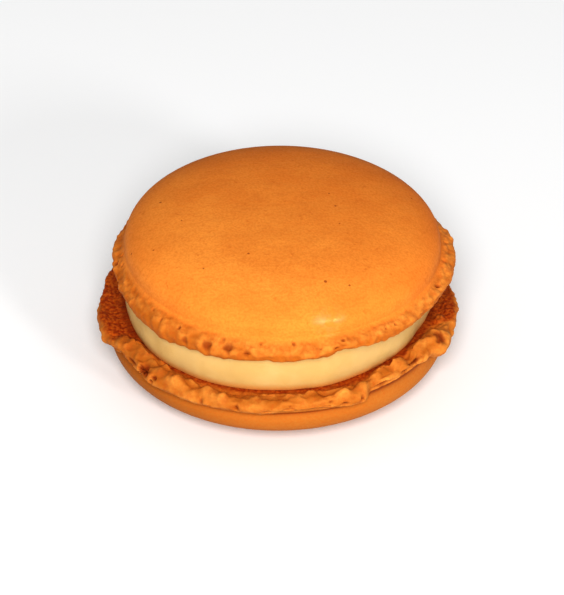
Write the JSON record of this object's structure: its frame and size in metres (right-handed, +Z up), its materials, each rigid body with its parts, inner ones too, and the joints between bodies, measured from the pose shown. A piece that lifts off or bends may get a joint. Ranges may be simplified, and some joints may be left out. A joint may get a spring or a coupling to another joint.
{
  "type": "passion fruit macaron",
  "caption": "Round sandwich biscuit: domed orange meringue shells with ruffled feet, and a thick band of pale yellow cream between them.",
  "frame": {"origin": "centre of the flat spot under the lower dome, which the macaron rests on", "axes": "+Z up through the middle of both shells, -Y towards the side that the picture shows"},
  "size_m": [0.0469, 0.0462, 0.0236],
  "materials": {
    "biscuit": "satin baked meringue crust",
    "cream": "smooth soft cream"
  },
  "bodies": {
    "root": {"shell_top": "biscuit", "filling": "cream", "shell_bottom": "biscuit"}
  },
  "joints": []
}
